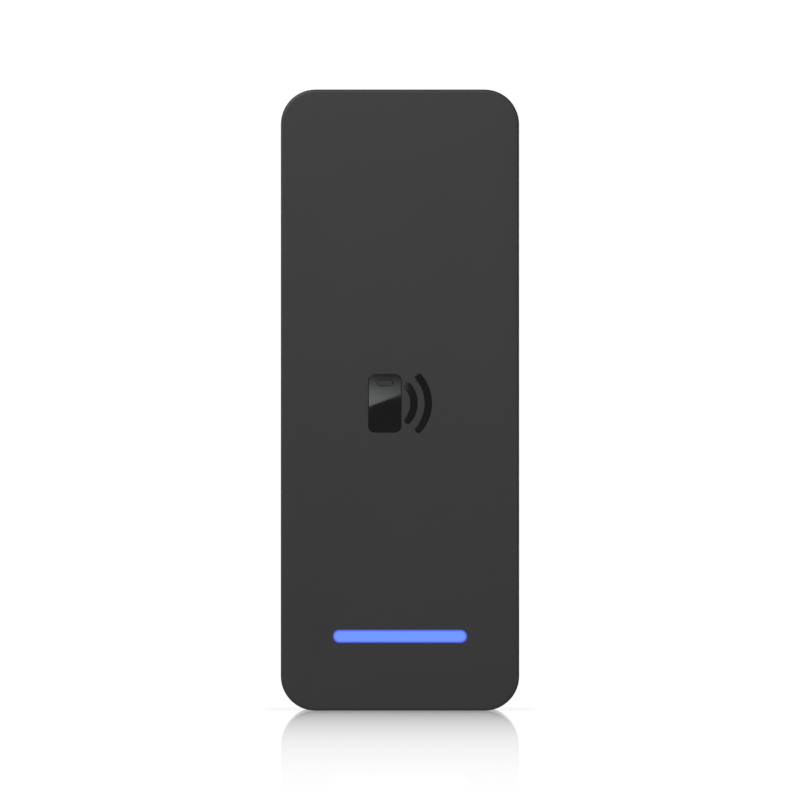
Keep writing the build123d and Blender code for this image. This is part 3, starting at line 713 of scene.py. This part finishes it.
# ================================================================ badge
# A gloss black inlay in three parts, a card and two waves. Each is moulded, polished, and
# pressed flush into its recess with glue.
gloss_black = Finish("gloss_black", {"Base Color": (0.004, 0.004, 0.0045, 1)})
finger_marks = gloss_black.noise(6 * MM, 4.0).rise(0.5, 0.8)
gloss_black.feed("Roughness", 0.025 + finger_marks * 0.03)
softened("badge_inlay", "emblem_inlay", gloss_black, 0.12 * MM, 3)


# ================================================================ light bar
# A milky diffuser in the slot, lit by six diodes; a white frame behind it keeps their light in.
# The rim of the bar is darker, where the slot's edge shades it.
CORE_BLUE, RIM_BLUE = (0.142, 0.288, 0.945), (0.05, 0.04, 0.52)
NOSE_LENGTH, NOSE_HEIGHT = 28.35 * MM, 2.75 * MM
DIODE_SPACING = 4.8 * MM


def middle_of(node):
    low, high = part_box(node)
    return (low + high) / 2


def lit_diffuser():
    """Blue light that is even over the bar and fades within its last 0.6 mm."""
    finish = Finish("light_diffuser", {"Base Color": (0.02, 0.025, 0.05, 1), "Roughness": 0.35})
    x, _, z = finish.axes()
    along = abs(x).above((NOSE_LENGTH - NOSE_HEIGHT) / 2)
    up = z - middle_of("light_bar").z
    inside = NOSE_HEIGHT / 2 - (along * along + up * up) ** 0.5
    blue = finish.colours(inside.rise(-0.15 * MM, 0.6 * MM), RIM_BLUE, CORE_BLUE)
    finish.feed("Emission Color", blue)
    finish.feed("Emission Strength", 1.0)
    return finish


def diode_white():
    """White diodes with a round yellow phosphor well in the middle of each."""
    finish = Finish("led_white", {"Roughness": 0.3})
    x, _, z = finish.axes()
    sideways = x.in_steps(DIODE_SPACING) * DIODE_SPACING
    up = z - middle_of("leds").z
    well = 1 - ((sideways * sideways + up * up) ** 0.5).rise(0.66 * MM, 0.8 * MM)
    finish.feed("Base Color", finish.colours(well, (0.82, 0.82, 0.8), (0.78, 0.6, 0.08)))
    return finish


softened("bar_diffuser", "light_bar", lit_diffuser(), 0.1 * MM)
paint(
    moulded(
        "white_plastic", (0.75, 0.75, 0.73), roughness=0.4, grain=0.3 * MM, depth=0.006 * MM, mottle=0.03
    ),
    "light_frame",
)
paint(diode_white(), "leds")


# ================================================================ antenna
# A thin green board bonded behind the face carries a flat copper spiral. A sheet of ferrite
# shields it, and two gilt spring pins lead to the main board.
TRACK_PITCH = 1.3 * MM
PAD_SPACING = 4.5 * MM
GILT = (0.75, 0.55, 0.22)


def circuit_board(name, mask):
    """Solder mask over copper tracks that run in streets, upright or level, with gilt pads."""
    finish = Finish(name)
    x, _, z = finish.axes()
    upright = finish.noise(5 * MM, 0.0, (1, 0.01, 0.35)).rise(0.48, 0.5)
    on_column = x.in_steps(TRACK_PITCH).band(0.1, 0.16)
    on_row = z.in_steps(TRACK_PITCH).band(0.1, 0.16)
    tracks = on_column * upright + on_row * (1 - upright)
    pads = finish.cells(PAD_SPACING, (1, 0.01, 1)).band(0.1, 0.12)
    green = finish.colours(tracks, mask, brighter(mask, 1.7))
    finish.feed("Base Color", finish.colours(pads, green, GILT))
    finish.feed("Metallic", pads)
    finish.feed("Roughness", 0.32 + finish.noise(2 * MM) * 0.12)
    finish.relief(tracks * (1 - pads), 0.02 * MM)
    return finish


copper = bare_metal(
    "copper", (0.7, 0.36, 0.2), roughness=0.3, grain=0.4 * MM, depth=0.003 * MM, rolled=0.5
)
ferrite = moulded(
    "ferrite", (0.06, 0.06, 0.065), roughness=0.6, grain=0.35 * MM, depth=0.008 * MM, mottle=0.15
)
gold = bare_metal(
    "gold_plate", (0.83, 0.6, 0.24), roughness=0.22, grain=0.3 * MM, depth=0.002 * MM, rolled=0.3
)
paint(circuit_board("antenna_laminate", (0.012, 0.07, 0.03)), "antenna_board")
paint(copper, "antenna_coil")
paint(ferrite, "ferrite_sheet")
paint(gold, "antenna_pins")


# ================================================================ main board
# A 1.2 mm circuit board on four posts. Its chips are soldered to the rear face, with rows of
# resistors and capacitors beside them, and a folded tin can closes in the radio.
paint(circuit_board("circuit_board", (0.01, 0.055, 0.028)), "main_board")

post_screw = screw(
    "post_screw", head=(1.9, 1.2), shank=0.9, length=3.5, pitch=0.35,
    recess=cross(0.95, 0.225), depth=0.6, edge=0.35,
)
post_screw.transform(TO_FRONT)
heads = across(solids_of("board_screws"), lambda low, high: high.y)
screws = row("post_screws", heads, post_screw, zinc_screw, turn=1.5, seed=5)
stands_for(screws, zinc_screw, "board_screws")


def chip_epoxy():
    """Black moulding compound with a fine matt grain."""
    return moulded(
        "chip_black", (0.02, 0.02, 0.021), roughness=0.5, grain=0.1 * MM, depth=0.004 * MM, mottle=0.08
    )


paint(chip_epoxy(), "processor", "memory_chip", "network_chip", "card_chip")
tin = bare_metal(
    "tinned_steel", (0.62, 0.62, 0.6), roughness=0.28, grain=1.2 * MM, depth=0.01 * MM, rolled=0.3
)
paint(tin, "radio_shield", "crystal")
paint(
    moulded(
        "ceramic_white", (0.7, 0.69, 0.64), roughness=0.35, grain=0.2 * MM, depth=0.003 * MM, mottle=0.04
    ),
    "bluetooth_antenna",
)


def bevelled_block(name, boxes, bevel):
    """A few boxes in one mesh, in millimetres, with their edges broken."""
    work = bmesh.new()
    for low, high in boxes:
        made = bmesh.ops.create_cube(work, size=1)["verts"]
        size = Vector(high) - Vector(low)
        bmesh.ops.scale(work, vec=size, verts=made)
        bmesh.ops.translate(work, vec=(Vector(high) + Vector(low)) / 2, verts=made)
    edges = list(work.edges)
    bmesh.ops.bevel(work, geom=edges, offset=bevel, segments=1, affect="EDGES", clamp_overlap=True)
    bmesh.ops.recalc_face_normals(work, faces=work.faces)
    bmesh.ops.scale(work, vec=(MM, MM, MM), verts=work.verts)
    mesh = bpy.data.meshes.new(name)
    work.to_mesh(mesh)
    work.free()
    return mesh


ceramic = bevelled_block("middle", [((-0.52, 0.02, -0.38), (0.52, 0.52, 0.38))], 0.03)
caps = [((side - 0.16, 0.0, -0.4), (side + 0.16, 0.55, 0.4)) for side in (-0.64, 0.64)]
end_caps = bevelled_block("end_caps", caps, 0.06)
brown = moulded(
    "component_brown", (0.2, 0.12, 0.07), roughness=0.45, grain=0.1 * MM, depth=0.003 * MM, mottle=0.25
)
seats = across(solids_of("small_components"), lambda low, high: low.y)
stands_for(row("component_middles", seats, ceramic, brown), brown, "small_components")
tinned_ends = stands_for(row("component_caps", seats, end_caps, tin), tin, "small_components")

TAPE_HALF_WIDTH, TAPE_HALF_HEIGHT, TAPE_LAYER = 5.02 * MM, 4.02 * MM, 0.3 * MM


def wound_core():
    """A dark ferrite core round a winding that is wrapped in layers of amber tape."""
    finish = Finish("ferrite_core", {"Roughness": 0.55})
    x, y, z = finish.axes()
    middle, edge = middle_of("poe_transformer"), 0.04 * MM
    taped = (x - middle.x).band(TAPE_HALF_WIDTH, TAPE_HALF_WIDTH + edge)
    taped = taped * (z - middle.z).band(TAPE_HALF_HEIGHT, TAPE_HALF_HEIGHT + edge)
    layers = abs(y.in_steps(TAPE_LAYER))
    finish.feed("Base Color", finish.colours(taped, (0.035, 0.035, 0.038), (0.62, 0.4, 0.05)))
    finish.relief(layers * taped + finish.noise(0.2 * MM) * 0.3, 0.03 * MM)
    return finish


paint(wound_core(), "poe_transformer")
paint(ferrite, "power_inductor")
paint(
    bare_metal(
        "can_aluminium", (0.72, 0.72, 0.73), roughness=0.24, grain=0.5 * MM, depth=0.004 * MM, rolled=0.1
    ),
    "filter_capacitors",
)


# ================================================================ network jack
# A folded tin shell round a black plastic core, with eight gilt spring contacts. The plug
# enters from below, through the connector pocket of the rear housing.
paint(tin, "jack_shell")
paint(
    moulded("jack_plastic", (0.02, 0.02, 0.02), roughness=0.42, grain=0.2 * MM, depth=0.005 * MM),
    "jack_body",
)
paint(gold, "jack_contacts")


# ================================================================ speaker
# A steel can that faces down over a foam frame. Its thin diaphragm has a rolled edge, and a
# woven screen keeps dust and water out of the sound slots.
WIRE_SIDES = 5


def weave():
    """A plain weave in X and Y: every wire goes over one and under the next."""
    recipe = Recipe("weave", "Width", "Depth", "Pitch", "Wire")
    width, depth, pitch, wire = [recipe.size(name) for name in ("Width", "Depth", "Pitch", "Wire")]
    joined = recipe.node("GeometryNodeJoinGeometry")
    for long, short, sign in ((width, depth, 1.0), (depth, width, -1.0)):
        run = {"Start": recipe.vector(long * -0.5), "End": recipe.vector(long * 0.5)}
        run = recipe.node("GeometryNodeCurvePrimitiveLine", {}, run)
        points = (long / pitch * 4.0).maths("ROUND") + 1.0
        fine = recipe.node("GeometryNodeResampleCurve", {}, {"Curve": run, "Count": points})
        gaps = (short / pitch).maths("FLOOR") - 1.0
        shift = pitch * (0.25 - 0.25 * sign)
        start = recipe.vector(y=gaps * pitch * -0.5 + shift)
        line = {"Count": gaps + 1.0, "Start Location": start, "Offset": recipe.vector(y=pitch)}
        rows = recipe.node("GeometryNodeMeshLine", {}, line)
        copies = recipe.node("GeometryNodeInstanceOnPoints", {}, {"Points": rows, "Instance": fine})
        real = recipe.node("GeometryNodeRealizeInstances", {}, {"Geometry": copies})
        if sign < 0:
            turned = {"Geometry": real, "Rotation": (0, 0, math.pi / 2)}
            real = recipe.node("GeometryNodeTransform", {}, turned)
        x, y, _ = recipe.place()
        wave = ((x + y) * math.pi / pitch).maths("SINE")
        lift = recipe.vector(z=wave * wire * 0.5 * sign)
        waved = recipe.node("GeometryNodeSetPosition", {}, {"Geometry": real, "Offset": lift})
        recipe.plug(joined.inputs[0], recipe.tube(waved, wire * 0.5, WIRE_SIDES))
    recipe.done(joined)
    return recipe


def sprung_skin():
    """A diaphragm in X and Y: a half-round roll along its edge and a low dome inside it."""
    recipe = Recipe("sprung_skin", "Width", "Depth", "Roll", "Rise")
    width, depth, roll, rise = [recipe.size(name) for name in ("Width", "Depth", "Roll", "Rise")]
    grid = {"Size X": width, "Size Y": depth, "Vertices X": 59, "Vertices Y": 19}
    sheet = recipe.node("GeometryNodeMeshGrid", {}, grid)
    x, y, _ = recipe.place()
    inside = (width * 0.5 - abs(x)).maths("MINIMUM", depth * 0.5 - abs(y))
    bend = (inside / roll).maths("MINIMUM", 1.0) * math.pi
    dome = inside.above(roll).maths("MINIMUM", rise)
    height = bend.maths("SINE") * roll * 0.6 + dome
    moved = {"Geometry": sheet.outputs["Mesh"], "Offset": recipe.vector(z=height)}
    recipe.done(recipe.node("GeometryNodeSetPosition", {}, moved))
    return recipe


def foot_of(node):
    """A move from the origin to the middle of a CAD node's lowest face."""
    low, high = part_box(node)
    return Matrix.Translation(((low.x + high.x) / 2, (low.y + high.y) / 2, low.z))


woven_steel = bare_metal(
    "woven_mesh", (0.09, 0.09, 0.095), roughness=0.4, grain=0.1 * MM, depth=0.002 * MM, rolled=1.0
)
sizes = {"Width": 13.3 * MM, "Depth": 5.1 * MM, "Pitch": 0.3 * MM, "Wire": 0.07 * MM}
screen = weave().make("sound_screen", woven_steel, **sizes)
screen.data.transform(Matrix.Translation(middle_of("sound_mesh")))
stands_for(screen, woven_steel, "sound_mesh")

paint(
    moulded("foam", (0.03, 0.03, 0.032), roughness=0.9, grain=0.35 * MM, depth=0.08 * MM, mottle=0.2),
    "speaker_gasket",
)
plated = bare_metal(
    "plated_steel", (0.52, 0.52, 0.52), roughness=0.3, grain=0.5 * MM, depth=0.006 * MM, rolled=0.2
)
paint(plated, "speaker")

film = Finish("diaphragm_film", {"Base Color": (0.05, 0.048, 0.045, 1), "Coat Weight": 0.3})
film.feed("Roughness", 0.3 + film.noise(1.5 * MM) * 0.2)
FILM_THICKNESS = 0.08 * MM
sizes = {"Width": 11.6 * MM, "Depth": 3.6 * MM, "Roll": 0.7 * MM, "Rise": 0.35 * MM}
skin = sprung_skin().make("speaker_skin", film, **sizes)
skin.data.shade_smooth()
skin.modifiers.new("film", "SOLIDIFY").thickness = FILM_THICKNESS
skin.data = plain_mesh(skin)
skin.data.transform(foot_of("speaker_diaphragm") @ Matrix.Translation((0, 0, FILM_THICKNESS)))
stands_for(skin, film, "speaker_diaphragm")


# ================================================================ lock screw
# A black-oxide machine screw with a six-lobed recess and a centre pin, so that only its own
# key turns it. It passes the foot of the wall plate into a knurled brass insert.
def six_lobes(angle):
    """The outline of a six-lobed recess, from its centre."""
    return 1.15 + 0.17 * math.cos(6 * angle)


black_oxide = bare_metal(
    "black_screw", (0.035, 0.035, 0.038), roughness=0.36, grain=0.3 * MM, depth=0.004 * MM, rolled=1.0
)
lock_screw = screw(
    "lock_screw_body", head=(2.75, 1.4), shank=1.5, length=6.85, pitch=0.5,
    recess=six_lobes, depth=0.9, edge=0.5, pin=0.42,
)
lock_screw.transform(foot_of("security_screw"))
stands_for(object_of("pinned_screw", lock_screw), black_oxide, "security_screw")

low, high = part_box("security_insert")
lock_insert = knurled_tube("lock_insert", length=(high.z - low.z) / MM, outer=2.1, bore=1.55)
lock_insert.transform(foot_of("security_insert"))
stands_for(object_of("lock_insert", lock_insert), brass, "security_insert")


# ================================================================ reset button
# A grey moulded button behind the panel. Its collar keeps it in, and it presses the plunger of
# a small square switch on the main board.
button_grey = moulded(
    "button_plastic", (0.11, 0.11, 0.115), roughness=0.45, grain=0.15 * MM, depth=0.004 * MM
)
paint(button_grey, "reset_button", "reset_switch_plunger")
paint(chip_epoxy(), "reset_switch")


# ================================================================ tamper switch
# A sprung pin that the wall holds in. When the reader comes off its plate, the pin moves out and
# lets go of the lever of a small switch.
def coil():
    """A wire coil that climbs Z from the origin."""
    recipe = Recipe("coil", "Radius", "Height", "Turns", "Wire")
    radius = recipe.size("Radius")
    inputs = {"Resolution": 40, "Rotations": recipe.size("Turns"), "Height": recipe.size("Height")}
    inputs.update({"Start Radius": radius, "End Radius": radius})
    spiral = recipe.node("GeometryNodeCurveSpiral", {}, inputs)
    recipe.done(recipe.tube(spiral, recipe.size("Wire") * 0.5, 10))
    return recipe


SPRING_WIRE = 0.3 * MM
spring_steel = bare_metal(
    "spring_steel", (0.5, 0.5, 0.51), roughness=0.24, grain=0.2 * MM, depth=0.002 * MM, rolled=1.0
)
low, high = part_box("tamper_spring")
pin_axis = middle_of("tamper_plunger")
sizes = {"Radius": 2.0 * MM, "Height": high.y - low.y - SPRING_WIRE, "Turns": 4.0, "Wire": SPRING_WIRE}
spring = coil().make("pin_spring", spring_steel, **sizes)
seat = Matrix.Translation((pin_axis.x, low.y + SPRING_WIRE / 2, pin_axis.z))
spring.data.transform(seat @ Matrix.Rotation(math.radians(-90), 4, "X"))
spring.data.shade_smooth()
spring.data.materials.clear()
spring.data.materials.append(spring_steel.material)
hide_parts("tamper_spring")
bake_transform(spring)

paint(button_grey, "tamper_plunger")
paint(rubber, "tamper_cup")
paint(chip_epoxy(), "tamper_switch")
paint(spring_steel, "tamper_lever", "tamper_lever_pin")
